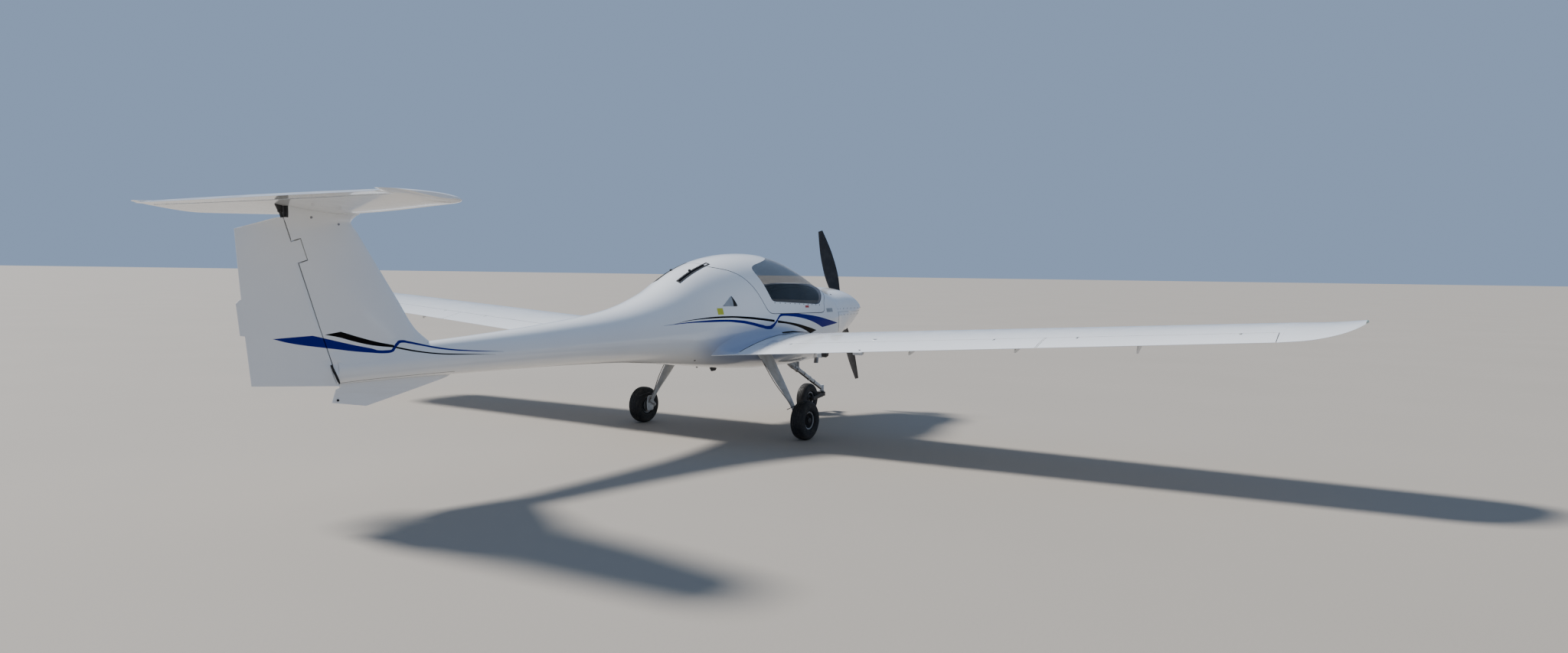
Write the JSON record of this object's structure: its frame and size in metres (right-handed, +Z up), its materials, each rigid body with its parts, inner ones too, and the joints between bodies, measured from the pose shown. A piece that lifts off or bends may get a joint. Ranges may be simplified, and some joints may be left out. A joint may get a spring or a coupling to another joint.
{
  "type": "two-seat light aircraft",
  "caption": "Low-wing T-tail light aircraft with side-by-side seats under a rear-hinged canopy, a tractor propeller and fixed tricycle gear.",
  "frame": {"origin": "on the ground, under the middle of the overall length and span", "axes": "+X forward to the propeller, +Y to the left wingtip, +Z up"},
  "size_m": [7.18, 10.87, 2.0212],
  "materials": {
    "paint": "gloss white paint on smooth composite, clean",
    "leg_paint": "light grey satin paint on spring steel",
    "black": "satin black",
    "propeller": "matt black laminated blade",
    "tyre": "black tyre rubber",
    "alloy": "cast alloy, dull",
    "steel": "plain steel, dull",
    "engine": "plain block",
    "glass": "clear acrylic, light tint",
    "lens": "clear lamp lens",
    "cloth": "dark grey upholstery",
    "lining": "matt grey moulding"
  },
  "bodies": {
    "airframe": {"fuselage": "paint", "tail_boom": "paint", "firewall": "steel", "engine_block": "engine", "cowling_upper": "paint", "cowling_lower": "paint", "exhaust_pipe": "steel", "canopy_hinge_bracket": "steel", "wing_left": "paint", "wing_right": "paint", "wingtip_left": "paint", "wingtip_right": "paint", "tip_light_left": "lens", "tip_light_right": "lens", "stabiliser": "paint", "fin": "paint", "ventral_fin": "paint", "main_leg_left": "leg_paint", "main_leg_right": "leg_paint", "nose_leg": "leg_paint", "seat_box": "lining", "seat_cushion_left": "cloth", "seat_back_left": "cloth", "stick_left": "black", "seat_cushion_right": "cloth", "seat_back_right": "cloth", "stick_right": "black", "seat_rest": "lining", "centre_console": "lining", "instrument_panel": "black", "rudder_pedals": "steel"},
    "canopy": {"canopy_frame": "paint", "canopy_glass": "glass"},
    "flap_left": {"flap_left": "paint"},
    "flap_right": {"flap_right": "paint"},
    "aileron_left": {"aileron_left": "paint"},
    "aileron_right": {"aileron_right": "paint"},
    "elevator": {"elevator": "paint"},
    "rudder": {"rudder": "paint"},
    "wheel_left": {"tyre_main_left": "tyre", "rim_main_left": "alloy"},
    "wheel_right": {"tyre_main_right": "tyre", "rim_main_right": "alloy"},
    "nose_fork": {"nose_fork": "black"},
    "nose_wheel": {"tyre_nose": "tyre", "rim_nose": "alloy"},
    "propeller": {"propeller": "propeller", "spinner": "paint"}
  },
  "joints": [
    {"name": "canopy_hinge", "type": "hinge", "parent": "airframe", "child": "canopy", "pos_m": [0.47, 0, 1.418], "axis": [0, -1, 0], "range_deg": [0, 60]},
    {"name": "flap_left_hinge", "type": "hinge", "parent": "airframe", "child": "flap_left", "pos_m": [0.77837, 0.64, 0.83009], "axis": [-0.0244, -0.9974, -0.0677], "range_deg": [0, 45]},
    {"name": "flap_right_hinge", "type": "hinge", "parent": "airframe", "child": "flap_right", "pos_m": [0.77837, -0.64, 0.83009], "axis": [0.0244, -0.9974, 0.0677], "range_deg": [0, 45]},
    {"name": "aileron_left_hinge", "type": "hinge", "parent": "airframe", "child": "aileron_left", "pos_m": [0.84356, 3.3, 1.01056], "axis": [-0.0244, -0.9974, -0.0677], "range_deg": [-20, 20]},
    {"name": "aileron_right_hinge", "type": "hinge", "parent": "airframe", "child": "aileron_right", "pos_m": [0.84356, -3.3, 1.01056], "axis": [0.0244, -0.9974, 0.0677], "range_deg": [-20, 20]},
    {"name": "elevator_hinge", "type": "hinge", "parent": "airframe", "child": "elevator", "pos_m": [-3.429, 0, 1.916], "axis": [0, -1, 0], "range_deg": [-34, 6]},
    {"name": "rudder_hinge", "type": "hinge", "parent": "airframe", "child": "rudder", "pos_m": [-2.994, 0, 0.8], "axis": [-0.321, 0, 0.9471], "range_deg": [-27, 27]},
    {"name": "propeller_spin", "type": "hinge", "parent": "airframe", "child": "propeller", "pos_m": [3.46, 0, 1.18], "axis": [1, 0, 0], "continuous": true},
    {"name": "wheel_left_spin", "type": "hinge", "parent": "airframe", "child": "wheel_left", "pos_m": [1.18, 0.955, 0.179], "axis": [0, 1, 0], "continuous": true},
    {"name": "wheel_right_spin", "type": "hinge", "parent": "airframe", "child": "wheel_right", "pos_m": [1.18, -0.955, 0.179], "axis": [0, 1, 0], "continuous": true},
    {"name": "nose_caster", "type": "hinge", "parent": "airframe", "child": "nose_fork", "pos_m": [3.108, 0, 0.24], "axis": [0, 0, 1], "range_deg": [-60, 60]},
    {"name": "nose_wheel_spin", "type": "hinge", "parent": "nose_fork", "child": "nose_wheel", "pos_m": [2.8, 0, 0.164], "axis": [0, 1, 0], "continuous": true}
  ],
  "couplings": [
    {"joint": "flap_right_hinge", "follows": "flap_left_hinge", "ratio": 1},
    {"joint": "aileron_right_hinge", "follows": "aileron_left_hinge", "ratio": -1}
  ]
}
